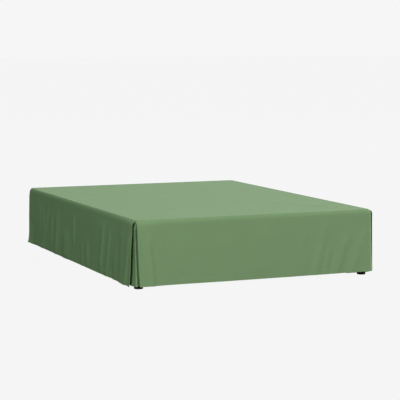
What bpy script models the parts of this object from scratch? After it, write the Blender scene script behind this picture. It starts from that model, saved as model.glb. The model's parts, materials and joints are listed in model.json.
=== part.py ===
"""Tailored bed skirt with split corners, lying over the plain box base of a double bed.

Units are metres and +Z is up. The foot end of the bed faces -Y, and the origin is on the floor under
the middle of the bed. The skirt is a flat deck, four drops that hang from the seam round its edge and
one corner piece behind each split. The base is a closed box on four round glides.
"""

import math
from collections import namedtuple

import bmesh
import bpy
from mathutils import Matrix

# The box base.
BASE_WIDTH = 1.4114
BASE_LENGTH = 1.9394
BASE_TOP = 0.3702
BASE_UNDERSIDE = 0.045
EDGE_ROUND = 0.014  # radius of its top edge
CORNER_ROUND = 0.028  # radius of its upright corners, seen from above
UNDER_EDGE = 0.006  # bevel round its underside

# The glides that it stands on.
GLIDE_RADIUS = 0.0245
GLIDE_EDGE = 0.002  # rounding of the edge that meets the floor
GLIDE_IN_Y = 0.045  # a glide's centre, in from the base's end faces
GLIDE_IN_X_FOOT = 0.033  # and in from its long faces, at the foot end
GLIDE_IN_X_HEAD = 0.062  # and at the head end
GLIDE_SIDES = 20

# The cloth.
CLOTH = 0.0015
GAP = 0.0003  # between pieces that touch
SEAM_GAP = 0.0007  # between the deck's edge and the top of a drop
CLEAR = 0.002  # between a corner piece and the base
CORNER_OUTER = CLEAR + CLOTH  # a corner piece's outer face, out from the base
DROP_OUTER = CORNER_OUTER + GAP + CLOTH  # a drop's outer face at its top
DECK_OUTER = GAP + CLOTH  # the deck's upper face, up from the base
SEAM_ANGLE = math.radians(45)  # where round the base's top edge the drops are sewn to the deck
HEM_HEIGHT = 0.020
CORNER_PIECE_HEM = 0.019
CORNER_PIECE_REACH = 0.150  # how far a corner piece runs behind each drop

# How a drop hangs.
EASE = 0.003  # how far it swells out just below the seam
EASE_DRAW = 0.024  # how far down the cloth it takes to swell out
LEAN_POWER = 1.3  # how its lean grows with the share of its height that is above
END_DRAW = 0.014  # how far down the cloth a free end takes to stand out
CORNER_DRAW = 0.012  # how far down the cloth it mostly takes to come off the base's round corner
SPLIT_HEM = 0.0122  # half the opening of a split at the hem
FOLD_BEND = 1.15  # how a slanting fold bends on its way down
FOLD_FADE = 0.075  # the height over which a fold grows from nothing, and fades again below its stop
FOLD_LEAST = 0.022  # the narrowest flank of a fold that these columns can show
MOST_INWARD = 0.85  # a trough goes in by at most this share of the ease and the lean

# How a corner piece hangs.
RIB_HERE = 0.008  # how wide its rib's flank is on the side that starts at the corner
RIB_BEFORE = 0.0125  # and on the side before
RIB_DRAW = 0.030  # how far down the cloth the rib takes to stand out
CREST_TOP = -0.001  # where along the side the rib's crest is at the seam
CREST_HEM = 0.0065  # and at the hem
CREST_POWER = 1.5
PIECE_LEAN = 0.006  # how much further out the piece is at its hem
PIECE_LEAN_REACH = 0.090

# How finely the solids are divided.
EDGE_STEPS = 2  # from the seam down to the base's upright faces
LEVELS = (0.340, 0.280, 0.180, 0.085)  # between there and the hem
COLUMN = 0.036
END_COLUMN = 0.020
END_REACH = 0.100  # nearer than this to a corner the columns are END_COLUMN apart
CORNER_STEPS = 8
ROUND_STEPS = 6
DECK_ROWS = 5
PIECE_PLACES = (0.060, 0.100, CORNER_PIECE_REACH)  # a corner piece's columns beyond the round corner

GREEN = (0.150, 0.262, 0.118)
TICKING = (0.560, 0.545, 0.510)
BLACK = (0.012, 0.012, 0.013)

HALF_X = BASE_WIDTH / 2
HALF_Y = BASE_LENGTH / 2
STRAIGHT_FROM = BASE_TOP - EDGE_ROUND  # where the base's upright faces begin
HALF_ARC = CORNER_ROUND * math.pi / 4
TO_CORNER = DROP_OUTER + (1 - math.pi / 4) * CORNER_ROUND  # from the middle of a corner back to its point

# A soft ridge in a drop, or a trough where proud is below 0. It begins at the height start, at the place
# upper, and runs down to the height stop, at the place lower. Places are measured along the drop from a
# corner. It falls away over near on the side of that corner and over far on the other.
Fold = namedtuple("Fold", "start upper stop lower near far proud")

# Measured from the corner at the left of the foot end.
FOOT_FOLDS = (
    Fold(0.330, 0.077, HEM_HEIGHT, 0.105, 0.020, 0.012, 0.0060),
    Fold(0.300, 0.148, 0.100, 0.172, 0.018, 0.018, 0.0020),
    Fold(0.290, 0.250, 0.120, 0.255, 0.050, 0.050, 0.0012),
    Fold(0.290, 0.525, HEM_HEIGHT, 0.530, 0.060, 0.045, 0.0020),
    Fold(0.330, 0.745, 0.100, 0.742, 0.060, 0.045, 0.0028),
    Fold(0.180, 0.905, HEM_HEIGHT, 0.905, 0.040, 0.035, 0.0020),
    Fold(0.290, 0.980, 0.080, 0.990, 0.030, 0.026, 0.0024),
    Fold(0.330, 1.128, HEM_HEIGHT, 1.064, 0.022, 0.024, 0.0038),
    Fold(0.205, 1.160, HEM_HEIGHT, 1.122, 0.018, 0.013, 0.0024),
    Fold(0.260, 1.268, HEM_HEIGHT, 1.186, 0.032, 0.026, 0.0040),
    Fold(0.280, 1.372, HEM_HEIGHT, 1.290, 0.030, 0.026, 0.0038),
    Fold(0.240, 1.366, 0.090, 1.360, 0.016, 0.014, 0.0018),
)
# Measured from the corner at the left of the foot end, towards the head.
LEFT_FOLDS = (
    Fold(0.300, 0.022, HEM_HEIGHT, 0.030, 0.014, 0.018, 0.0035),
    Fold(0.320, 0.046, HEM_HEIGHT, 0.102, 0.016, 0.045, 0.0080),
    Fold(0.330, 0.172, HEM_HEIGHT, 0.184, 0.060, 0.035, 0.0060),
    Fold(0.350, 0.520, HEM_HEIGHT, 0.540, 0.200, 0.240, 0.0040),
    Fold(0.220, 0.285, HEM_HEIGHT, 0.295, 0.050, 0.040, 0.0030),
    Fold(0.130, 0.342, HEM_HEIGHT, 0.346, 0.018, 0.018, -0.0030),
    Fold(0.300, 0.377, 0.050, 0.424, 0.015, 0.022, 0.0058),
    Fold(0.330, 0.472, 0.090, 0.518, 0.015, 0.036, 0.0075),
    Fold(0.220, 0.715, 0.110, 0.715, 0.022, 0.014, -0.0020),
    Fold(0.205, 0.755, 0.085, 0.756, 0.011, 0.050, 0.0044),
    Fold(0.185, 0.857, 0.045, 0.857, 0.014, 0.020, 0.0042),
    Fold(0.325, 1.022, 0.165, 1.022, 0.020, 0.018, 0.0062),
    Fold(0.205, 1.160, 0.060, 1.168, 0.060, 0.055, 0.0100),
    Fold(0.300, 1.320, 0.060, 1.355, 0.026, 0.038, 0.0080),
    Fold(0.290, 1.434, 0.110, 1.455, 0.013, 0.024, 0.0048),
    Fold(0.310, 1.506, 0.045, 1.628, 0.016, 0.018, 0.0056),
    Fold(0.300, 1.618, 0.150, 1.618, 0.014, 0.040, 0.0034),
    Fold(0.310, 1.705, 0.150, 1.702, 0.035, 0.026, 0.0036),
    Fold(0.200, 1.860, HEM_HEIGHT, 1.858, 0.070, 0.040, -0.0060),
)
# Not seen: measured from the corner at the right of the foot end, towards the head.
RIGHT_FOLDS = (
    Fold(0.270, 0.120, HEM_HEIGHT, 0.150, 0.030, 0.026, 0.0036),
    Fold(0.290, 0.330, HEM_HEIGHT, 0.392, 0.032, 0.040, 0.0048),
    Fold(0.220, 0.452, HEM_HEIGHT, 0.486, 0.026, 0.024, -0.0028),
    Fold(0.250, 0.704, HEM_HEIGHT, 0.716, 0.048, 0.040, 0.0042),
    Fold(0.200, 0.800, 0.060, 0.806, 0.024, 0.028, 0.0024),
    Fold(0.300, 0.958, HEM_HEIGHT, 0.940, 0.026, 0.036, 0.0044),
    Fold(0.210, 1.140, HEM_HEIGHT, 1.128, 0.028, 0.026, 0.0034),
    Fold(0.280, 1.394, HEM_HEIGHT, 1.342, 0.034, 0.044, 0.0050),
    Fold(0.220, 1.462, HEM_HEIGHT, 1.420, 0.026, 0.022, -0.0028),
    Fold(0.260, 1.560, 0.080, 1.540, 0.030, 0.030, 0.0026),
    Fold(0.290, 1.716, HEM_HEIGHT, 1.668, 0.034, 0.032, 0.0042),
)
# Not seen: measured from the corner at the right of the head end.
HEAD_FOLDS = (
    Fold(0.270, 0.210, HEM_HEIGHT, 0.252, 0.030, 0.040, 0.0038),
    Fold(0.220, 0.520, HEM_HEIGHT, 0.534, 0.050, 0.044, 0.0028),
    Fold(0.240, 0.660, 0.080, 0.668, 0.026, 0.030, 0.0020),
    Fold(0.250, 0.838, HEM_HEIGHT, 0.820, 0.036, 0.044, 0.0032),
    Fold(0.280, 1.150, HEM_HEIGHT, 1.096, 0.030, 0.032, 0.0040),
)

# How a drop hangs towards an end, which a split leaves free. At the hem the end stands out by flare beyond
# the middle of the drop, and just below the seam by the share standing of that. The rest comes in by the
# power kick, and all of it fades over reach. Its hem is low below level. It goes round the corner by the
# radius corner once it hangs free, which it does draw down the cloth. Half the split beside it is parted at
# the seam and opened at the hem.
End = namedtuple("End", "flare standing reach kick low corner draw parted opened")
PLAIN_END = End(0.0060, 0.35, 0.070, 2.5, 0.0, 0.020, CORNER_DRAW, 0.0010, SPLIT_HEM)
FOOT_LEFT_END = End(0.0175, 0.78, 0.120, 5.5, 0.0010, 0.001, CORNER_DRAW, 0.0010, 0.0150)
FOOT_RIGHT_END = End(0.0075, 0.0, 0.070, 2.0, -0.0042, 0.016, CORNER_DRAW, 0.0032, 0.0026)
RIGHT_FOOT_END = End(0.0080, 0.45, 0.050, 1.2, 0.0, 0.006, CORNER_DRAW, 0.0035, SPLIT_HEM)
LEFT_HEAD_END = End(0.0085, 0.0, 0.060, 14.0, -0.0055, 0.012, 0.060, 0.0010, SPLIT_HEM)
LEFT_FOOT_END = End(0.0140, 0.75, 0.220, 5.5, 0.0025, 0.001, CORNER_DRAW, 0.0010, SPLIT_HEM)

# A panel: its object, its folds and the corner that they are measured from, its two ends, how much further
# out it is at its hem than at its top, and how much lower its hem is in its middle.
Drop = namedtuple("Drop", "name folds folds_from_end start finish lean sag")
FOOT_DROP = Drop("drop_foot", FOOT_FOLDS, False, FOOT_LEFT_END, FOOT_RIGHT_END, 0.0045, 0.0022)
RIGHT_DROP = Drop("drop_right", RIGHT_FOLDS, False, RIGHT_FOOT_END, PLAIN_END, 0.0045, 0.0)
HEAD_DROP = Drop("drop_head", HEAD_FOLDS, False, PLAIN_END, PLAIN_END, 0.0045, 0.0)
LEFT_DROP = Drop("drop_left", LEFT_FOLDS, True, LEFT_HEAD_END, LEFT_FOOT_END, 0.0070, 0.0026)

# The sides run anticlockwise from above. Each starts at corner, where corner_piece hangs with a rib that
# stands out between the drops, and runs along heading.
Side = namedtuple("Side", "corner heading length drop corner_piece rib")
SIDES = (
    Side((-HALF_X, -HALF_Y), (1, 0), BASE_WIDTH, FOOT_DROP, "corner_foot_left", 0.0130),
    Side((HALF_X, -HALF_Y), (0, 1), BASE_LENGTH, RIGHT_DROP, "corner_foot_right", 0.0006),
    Side((HALF_X, HALF_Y), (-1, 0), BASE_WIDTH, HEAD_DROP, "corner_head_right", 0.0030),
    Side((-HALF_X, HALF_Y), (0, -1), BASE_LENGTH, LEFT_DROP, "corner_head_left", 0.0030),
)

# A row of hanging cloth: how far out it is from the base's upright faces, its height, and how far down the
# cloth it is from the seam.
Row = namedtuple("Row", "out height down")


def smooth(share):
    """A share from 0 to 1, eased at both ends."""
    share = min(1.0, max(0.0, share))
    return share * share * (3 - 2 * share)


def bell(distance, wide):
    """A soft bell: 1 in its middle and about a third at wide."""
    return math.exp(-((distance / wide) ** 2))


def divided(start, end, pitch):
    """The places that divide the way from start to end about every pitch, end included."""
    count = max(1, round((end - start) / pitch))
    return [start + (end - start) * step / count for step in range(1, count + 1)]


def run_of(side, corner=CORNER_ROUND):
    """The length of a side from the middle of one corner to the middle of the next, round their radius."""
    return side.length - (2 - math.pi / 2) * corner


def plan_point(index, along, out, corner=CORNER_ROUND):
    """The (x, y) along metres round the base from the middle of side index's first corner.

    It lies out metres beyond the base's upright face, on cloth that goes round the corners by the radius
    corner. A negative along is on the side before.
    """
    if along < 0:
        index = (index - 1) % len(SIDES)
        along += run_of(SIDES[index])
    side = SIDES[index]
    run = run_of(side, corner)
    along *= run / run_of(side)
    half_arc = corner * math.pi / 4
    from_end = min(along, run - along)
    angle = max(0.0, half_arc - from_end) / corner
    forward = corner - (corner + out) * math.sin(angle) + max(0.0, from_end - half_arc)
    outward = (corner + out) * math.cos(angle) - corner
    if from_end < along:
        forward = side.length - forward
    ahead_x, ahead_y = side.heading
    x, y = side.corner
    return x + forward * ahead_x + outward * ahead_y, y + forward * ahead_y - outward * ahead_x


def over_edge(angle, clear):
    """How far out and how high a point lies that is clear of the rounded edge, angle round from its top."""
    reach = EDGE_ROUND + clear
    return reach * math.sin(angle) - EDGE_ROUND, STRAIGHT_FROM + reach * math.cos(angle)


def hanging_rows(outer, hem):
    """The rows of hanging cloth, from the seam down to its hem."""
    rows = []
    for step in range(EDGE_STEPS + 1):
        turned = (math.pi / 2 - SEAM_ANGLE) * step / EDGE_STEPS
        out, height = over_edge(SEAM_ANGLE + turned, outer)
        rows.append(Row(out, height, (EDGE_ROUND + outer) * turned))
    bend = rows[-1].down
    return rows + [Row(outer, level, bend + STRAIGHT_FROM - level) for level in (*LEVELS, hem)]


def fallen(height, top):
    """How far down from a top to the hem a height is, from 0 to 1."""
    return min(1.0, max(0.0, (top - height) / (top - HEM_HEIGHT)))


def split_half(end, height):
    """Half the opening of the split beside a drop's end."""
    return end.parted + (end.opened - end.parted) * fallen(height, BASE_TOP)


def end_stands_out(end, from_edge, row):
    """How far a free end stands out at a distance from its edge."""
    at_once = end.standing * (1 - math.exp(-row.down / END_DRAW))
    later = (1 - end.standing) * fallen(row.height, STRAIGHT_FROM) ** end.kick
    return end.flare * (at_once + later) * bell(max(0.0, from_edge), end.reach)


def fold_stands_out(fold, place, height):
    """How far a fold stands out at a place along its drop."""
    share = min(1.4, max(0.0, (fold.start - height) / (fold.start - fold.stop)))
    middle = fold.upper + (fold.lower - fold.upper) * share**FOLD_BEND
    flank = fold.near if place < middle else fold.far
    grown = smooth((fold.start - height) / FOLD_FADE)
    if fold.stop > HEM_HEIGHT:
        grown *= smooth((height - fold.stop) / FOLD_FADE + 1)
    return fold.proud * grown * bell(place - middle, max(flank, FOLD_LEAST))


def drop_stands_out(side, along, row):
    """How far a drop stands out beyond its place at the top: its ease, its lean, its ends and its folds."""
    drop = side.drop
    run = run_of(side)
    own = EASE * smooth(row.down / EASE_DRAW) + drop.lean * fallen(row.height, STRAIGHT_FROM) ** LEAN_POWER
    ends = end_stands_out(drop.start, along - split_half(drop.start, row.height), row)
    ends += end_stands_out(drop.finish, run - split_half(drop.finish, row.height) - along, row)
    place = (run - along if drop.folds_from_end else along) + TO_CORNER
    folds = sum(fold_stands_out(fold, place, row.height) for fold in drop.folds)
    return own + ends + max(folds, -MOST_INWARD * own)


def piece_stands_out(rib, along, row):
    """How far a corner piece stands out beyond its place at the top: its rib and its lean."""
    down = fallen(row.height, STRAIGHT_FROM)
    crest = CREST_TOP + (CREST_HEM - CREST_TOP) * down**CREST_POWER
    flank = RIB_HERE if along > crest else RIB_BEFORE
    leant = PIECE_LEAN * down**LEAN_POWER * bell(along, PIECE_LEAN_REACH)
    return rib * smooth(row.down / RIB_DRAW) * bell(along - crest, flank) + leant


def material(name, colour, roughness):
    """A plain material."""
    made = bpy.data.materials.new(name)
    made.use_nodes = True
    shader = made.node_tree.nodes["Principled BSDF"]
    shader.inputs["Base Color"].default_value = (*colour, 1.0)
    shader.inputs["Roughness"].default_value = roughness
    shader.inputs["Metallic"].default_value = 0.0
    made.diffuse_color = (*colour, 1.0)
    return made


def mesh_from(name, shape, finish):
    """A smooth-shaded mesh made from a bmesh, which is freed."""
    mesh = bpy.data.meshes.new(name)
    shape.to_mesh(mesh)
    shape.free()
    mesh.materials.append(finish)
    mesh.shade_smooth()
    mesh.set_sharp_from_angle(angle=math.radians(40))
    return mesh


def add_object(name, mesh, location=(0.0, 0.0, 0.0)):
    """An object in the scene that shows a mesh."""
    made = bpy.data.objects.new(name, mesh)
    made.location = location
    bpy.context.collection.objects.link(made)
    return made


def add_cloth(name, rows, finish, closed=False):
    """A sheet of cloth whose outer face runs through rows of points, the top row first.

    Where closed is set, each row is a ring and the top ring is filled.
    """
    shape = bmesh.new()
    lines = [[shape.verts.new(point) for point in row] for row in rows]
    across = len(lines[0])
    for upper, lower in zip(lines, lines[1:]):
        for left in range(across if closed else across - 1):
            right = (left + 1) % across
            shape.faces.new((upper[left], lower[left], lower[right], upper[right]))
    if closed:
        shape.faces.new(lines[0])
    sheet = add_object(name, mesh_from(name, shape, finish))
    thickness = sheet.modifiers.new("thickness", "SOLIDIFY")
    thickness.thickness = CLOTH
    thickness.offset = -1.0
    thickness.use_even_offset = True
    return sheet


def end_places(edge):
    """The places of a drop's columns from one of its edges in, as far as END_REACH."""
    round_corner = [edge, *divided(edge, HALF_ARC, (HALF_ARC - edge) / (CORNER_STEPS // 2))]
    return [*round_corner, *divided(HALF_ARC, END_REACH, END_COLUMN)]


def add_drop(index, finish):
    """The panel that hangs along one side of the base, from the middle of one split to the next."""
    side = SIDES[index]
    first, last = side.drop.start, side.drop.finish
    run = run_of(side)
    hung = hanging_rows(DROP_OUTER, HEM_HEIGHT)
    points = []
    for row in hung:
        alongs = end_places(split_half(first, row.height))
        alongs += divided(END_REACH, run - END_REACH, COLUMN)[:-1]
        alongs += [run - place for place in reversed(end_places(split_half(last, row.height)))]
        down = row.down / hung[-1].down
        line = []
        for along in alongs:
            end = first if along < run / 2 else last
            corner = CORNER_ROUND + (end.corner - CORNER_ROUND) * smooth(row.down / end.draw)
            low = first.low + (last.low - first.low) * along / run
            low += side.drop.sag * math.sin(math.pi * along / run)
            x, y = plan_point(index, along, row.out + drop_stands_out(side, along, row), corner)
            line.append((x, y, row.height - low * down))
        points.append(line)
    return add_cloth(side.drop.name, points, finish)


def corner_alongs():
    """The places of the steps round one corner, measured from its middle."""
    return [HALF_ARC * (2 * step / CORNER_STEPS - 1) for step in range(CORNER_STEPS + 1)]


def add_corner_piece(index, finish):
    """The piece that hangs behind a split, round the corner where side index starts."""
    side = SIDES[index]
    alongs = [*(-place for place in reversed(PIECE_PLACES)), *corner_alongs(), *PIECE_PLACES]
    points = []
    for row in hanging_rows(CORNER_OUTER, CORNER_PIECE_HEM):
        outs = [row.out + piece_stands_out(side.rib, along, row) for along in alongs]
        points.append([(*plan_point(index, along, out), row.height) for along, out in zip(alongs, outs)])
    return add_cloth(side.corner_piece, points, finish)


def add_deck(finish):
    """The flat cloth that lies on the base, turned down over its rounded edge as far as the seam."""
    last = SEAM_ANGLE - SEAM_GAP / EDGE_ROUND
    points = []
    for step in range(DECK_ROWS):
        angle = last * step / (DECK_ROWS - 1)
        out, height = over_edge(angle, DECK_OUTER + (DROP_OUTER - DECK_OUTER) * smooth(angle / last))
        ring = [plan_point(index, along, out) for index in range(len(SIDES)) for along in corner_alongs()]
        points.append([(x, y, height) for x, y in ring])
    return add_cloth("deck", points, finish, closed=True)


def add_base(finish):
    """The closed box that the skirt lies on, with round corners and a round top edge."""
    shape = bmesh.new()
    size = (BASE_WIDTH, BASE_LENGTH, BASE_TOP - BASE_UNDERSIDE)
    middle = Matrix.Translation((0.0, 0.0, (BASE_TOP + BASE_UNDERSIDE) / 2))
    bmesh.ops.create_cube(shape, size=1.0, matrix=middle @ Matrix.Diagonal((*size, 1.0)))

    def round_off(chosen, radius, steps):
        """Bevels the edges that chosen picks by the heights of their two ends."""
        edges = [edge for edge in shape.edges if chosen(*(vert.co.z for vert in edge.verts))]
        bmesh.ops.bevel(
            shape,
            geom=edges,
            offset=radius,
            segments=steps,
            profile=0.5,
            affect="EDGES",
            clamp_overlap=False,
        )

    halfway = (BASE_TOP + BASE_UNDERSIDE) / 2
    round_off(lambda one, other: (one > halfway) != (other > halfway), CORNER_ROUND, CORNER_STEPS)
    round_off(lambda one, other: min(one, other) > halfway, EDGE_ROUND, ROUND_STEPS)
    round_off(lambda one, other: max(one, other) < BASE_UNDERSIDE + GAP, UNDER_EDGE, 1)
    return add_object("base_box", mesh_from("base_box", shape, finish))


def add_glides(finish):
    """Four round glides under the base's corners, with a rounded edge where they meet the floor."""
    height = BASE_UNDERSIDE - GAP
    shape = bmesh.new()
    bmesh.ops.create_cone(
        shape,
        cap_ends=True,
        segments=GLIDE_SIDES,
        radius1=GLIDE_RADIUS,
        radius2=GLIDE_RADIUS,
        depth=height,
        matrix=Matrix.Translation((0.0, 0.0, height / 2)),
    )
    floor_edge = [edge for edge in shape.edges if max(vert.co.z for vert in edge.verts) < GAP]
    bmesh.ops.bevel(shape, geom=floor_edge, offset=GLIDE_EDGE, segments=3, profile=0.5, affect="EDGES")
    mesh = mesh_from("glide", shape, finish)
    for end, heading, in_x in (("foot", -1, GLIDE_IN_X_FOOT), ("head", 1, GLIDE_IN_X_HEAD)):
        x, y = HALF_X - in_x, heading * (HALF_Y - GLIDE_IN_Y)
        add_object(f"glide_{end}_left", mesh, (-x, y, 0.0))
        add_object(f"glide_{end}_right", mesh, (x, y, 0.0))


def main():
    """Builds the skirt and the base that it lies over."""
    for old in list(bpy.data.objects):
        bpy.data.objects.remove(old)
    cloth = material("green_cloth", GREEN, 0.9)
    add_deck(cloth)
    for index in range(len(SIDES)):
        add_drop(index, cloth)
        add_corner_piece(index, cloth)
    add_base(material("base_ticking", TICKING, 0.95))
    add_glides(material("black_plastic", BLACK, 0.45))


main()
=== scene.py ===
"""Looks of a tailored bed skirt with split corners, on the plain box base that it lies over.

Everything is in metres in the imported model's frame: +Z is up, the foot end of the bed faces -Y and the
origin is on the floor under the middle of the bed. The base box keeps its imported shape. The cloth and
the glides are fine meshes that replace their plain solids and lie in the same places.
"""

from __future__ import annotations

import json
import logging
import math
from abc import ABC, abstractmethod
from dataclasses import dataclass
from enum import Enum

import bpy
import numpy as np
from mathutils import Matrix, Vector

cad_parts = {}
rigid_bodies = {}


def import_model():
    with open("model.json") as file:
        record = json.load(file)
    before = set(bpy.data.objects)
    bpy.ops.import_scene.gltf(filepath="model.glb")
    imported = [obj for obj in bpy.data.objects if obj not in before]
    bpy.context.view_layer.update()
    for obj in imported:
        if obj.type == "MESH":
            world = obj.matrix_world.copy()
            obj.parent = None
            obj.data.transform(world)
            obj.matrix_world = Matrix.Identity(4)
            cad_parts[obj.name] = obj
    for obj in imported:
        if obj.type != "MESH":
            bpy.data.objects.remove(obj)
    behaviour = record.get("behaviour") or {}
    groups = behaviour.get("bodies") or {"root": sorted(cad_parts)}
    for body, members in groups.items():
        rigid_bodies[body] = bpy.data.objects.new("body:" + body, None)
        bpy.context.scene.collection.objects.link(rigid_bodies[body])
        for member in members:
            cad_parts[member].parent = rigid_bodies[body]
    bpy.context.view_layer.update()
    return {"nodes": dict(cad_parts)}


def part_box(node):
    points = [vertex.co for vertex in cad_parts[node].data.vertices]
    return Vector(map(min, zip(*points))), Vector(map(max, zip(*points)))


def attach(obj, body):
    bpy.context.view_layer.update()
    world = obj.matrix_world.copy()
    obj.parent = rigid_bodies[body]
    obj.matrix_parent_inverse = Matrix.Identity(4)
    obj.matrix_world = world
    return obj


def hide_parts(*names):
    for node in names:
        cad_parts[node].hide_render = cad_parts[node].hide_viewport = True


for startup in list(bpy.data.objects):
    bpy.data.objects.remove(startup)
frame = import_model()

LOG = logging.getLogger("bed_skirt")
BODY = "root"

Array = np.ndarray
Socket = bpy.types.NodeSocket
Triple = tuple[float, float, float]  # a vector, or a colour's linear red, green and blue
Inputs = dict[str | int, object]  # what a node's inputs get, each a socket to link or a value to set

# The skirt's sizes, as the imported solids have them.
CORNER_ROUND = 0.028  # radius of the base's upright corners, seen from above
EDGE_ROUND = 0.014  # radius of its top edge
CLOTH = 0.0015  # the cloth's thickness
CORNER_OUTER = 0.0035  # a corner piece's outer face, out from the base
DROP_OUTER = 0.0053  # a drop's outer face at its top
DECK_OUTER = 0.0018  # the deck's upper face, up from the base
SEAM_ANGLE = math.radians(45)  # where round the base's top edge the drops are sewn to the deck
SEAM_GAP = 0.0007  # how far short of there the deck's edge stops
HEM = 0.020  # the height of the drops' hem above the floor
CORNER_PIECE_HEM = 0.0190
CORNER_PIECE_REACH = 0.150  # how far a corner piece runs each way from the middle of its corner
SPLIT_HEM = 0.0122  # half the opening of a split at the hem

# The turned hems and the sewing.
HEM_DEEP = 0.030
SIDE_HEM_WIDE = 0.014
SIDE_HEM_DRAW = 0.03  # how far down the cloth a side hem takes to stand out, and again to thicken
HEM_STEP = 0.0004  # how far the turned part stands out
HEM_EXTRA = 0.0009  # how much thicker it is
HEM_SOFT = 0.0015  # how wide the step at its inner edge is
SEAM_ALLOWANCE = 0.012
SEAM_ROLL = 0.0010  # how deep the cloth rolls in at a seam
SEAM_ROLL_WIDE = 0.0013
STITCH_IN = 0.002  # a line of stitches, in from a turned hem's inner edge
STITCH_FIRST = 0.006  # how far down the cloth the stitches of a side hem start
STITCH_PITCH = 0.0032
STITCH_SINK = 0.00022  # how deep a line of stitches pulls the cloth in
STITCH_SINK_WIDE = 0.0012
STITCH_LIFT = 0.00005  # how far a stitch's middle is above the cloth
# The waves that the sewing draws up below a seam: each one's strength, its length over 2 pi and its phase.
PUCKER_WAVES = ((1.0, 0.0047, 0.0), (0.7, 0.0083, 1.0), (0.5, 0.0191, 0.0))
PUCKER = 0.00016  # how far out the strongest of them stands
PUCKER_DOWN = 0.006  # how far down the cloth they stand out most
PUCKER_WIDE = 0.011

# How fine the meshes are: the end of each stretch, and the distance from row to row or column to column.
SEAM_ROWS = (0.004, 0.0008)
STEP_HALF = 0.003  # how far above and below a hem's step its rows lie close
STEP_PITCH = 0.0010
HEM_PITCH = 0.0045  # between the rows of the turned part
SIDE_HEM_COLUMNS = ((0.001, 0.0005), (SIDE_HEM_WIDE - 0.004, 0.003), (SIDE_HEM_WIDE + 0.002, STEP_PITCH))
CORNER_COLUMNS = ((0.040, 0.0015), (CORNER_PIECE_REACH, 0.0100))
SHARP_CLOTH = math.radians(50)  # an edge that turns by more than this is sharp
SHARP_PLASTIC = math.radians(35)
TINY = 1e-12  # keeps a length from being 0


class Held(Enum):
    """The ways that a sheet of this skirt is held."""

    LAID = "laid"
    HUNG = "hung"


class Slot(Enum):
    """The record's material slots, one for each finish of the new pieces."""

    CLOTH = "green_cloth"
    PLASTIC = "black_plastic"


class Side(Enum):
    """The sides of the bed, anticlockwise from above: the corner where each starts, and its heading."""

    FOOT = ((-1, -1), (1, 0))
    RIGHT = ((1, -1), (0, 1))
    HEAD = ((1, 1), (-1, 0))
    LEFT = ((-1, 1), (0, -1))

    @property
    def before(self) -> Side:
        """The side that ends where this one starts."""
        order = list(Side)
        return order[order.index(self) - 1]


def smooth(share: Array) -> Array:
    """Eases a share at both ends.

    Args:
        share: Any numbers; those outside 0 to 1 are held there.

    Returns:
        The eased shares, from 0 to 1.
    """
    held = np.clip(share, 0.0, 1.0)
    return held * held * (3.0 - 2.0 * held)


def bell(distance: Array, wide: Array | float) -> Array:
    """A soft bell: 1 in its middle and about a third at wide."""
    return np.exp(-((distance / wide) ** 2))


def divide(start: float, *stretches: tuple[float, float]) -> Array:
    """Divides stretches that follow on from each other, each at its own pitch.

    Args:
        start: Where the first stretch starts.
        stretches: The end and the pitch of each stretch.

    Returns:
        The divisions' places, each once.
    """
    places = [start]
    for end, pitch in stretches:
        count = max(1, round(abs(end - start) / pitch))
        places.extend(start + (end - start) * step / count for step in range(1, count + 1))
        start = end
    return np.array(places)


# Finishes.


class NodeTree:
    """Adds nodes to a node tree and links them."""

    def __init__(self, tree: bpy.types.NodeTree) -> None:
        """Keeps the tree."""
        self.tree = tree

    def fill(self, node: bpy.types.Node, inputs: Inputs) -> None:
        """Gives a node its inputs.

        Args:
            node: The node.
            inputs: What its inputs get.
        """
        for name, value in inputs.items():
            if isinstance(value, Socket):
                self.tree.links.new(value, node.inputs[name])
            else:
                node.inputs[name].default_value = value

    def add(self, kind: str, inputs: Inputs | None = None, **settings: object) -> bpy.types.Node:
        """Adds a node.

        Args:
            kind: Its type.
            inputs: What its inputs get.
            settings: Its properties.

        Returns:
            The node.
        """
        node = self.tree.nodes.new(kind)
        for name, value in settings.items():
            setattr(node, name, value)
        self.fill(node, inputs or {})
        return node

    def group(self, tree: bpy.types.NodeTree, inputs: Inputs) -> bpy.types.Node:
        """Adds a node group with its inputs."""
        return self.add("ShaderNodeGroup", inputs, node_tree=tree)

    def math(self, operation: str, *values: object) -> Socket:
        """Adds a Math node and gives its result."""
        return self.add("ShaderNodeMath", dict(enumerate(values)), operation=operation).outputs[0]

    def stretched(self, place: Socket, by: Triple) -> Socket:
        """Scales a place by its own factor along each axis, and gives the result."""
        return self.add("ShaderNodeVectorMath", {0: place, 1: by}, operation="MULTIPLY").outputs[0]

    def noise(self, place: Socket, scale: Socket | float, detail: float) -> Socket:
        """Adds a noise around 0, from -0.5 to 0.5, and gives its value."""
        inputs = {"Vector": place, "Scale": scale, "Detail": detail}
        return self.math("SUBTRACT", self.add("ShaderNodeTexNoise", inputs).outputs["Fac"], 0.5)

    def bump(self, height: Socket, depth: float, strength: float) -> Socket:
        """Adds a bump with a depth in metres, and gives its normal."""
        inputs = {"Height": height, "Distance": depth, "Strength": strength}
        return self.add("ShaderNodeBump", inputs).outputs["Normal"]

    def scaled(self, colour: Triple, *factors: Socket) -> Socket:
        """Multiplies a colour by factors that vary over the surface.

        Args:
            colour: The colour.
            factors: Sockets whose values are around 1.

        Returns:
            The product.
        """
        level = factors[0]
        for factor in factors[1:]:
            level = self.math("MULTIPLY", level, factor)
        return self.add("ShaderNodeVectorMath", {0: colour, "Scale": level}, operation="SCALE").outputs[0]


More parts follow.
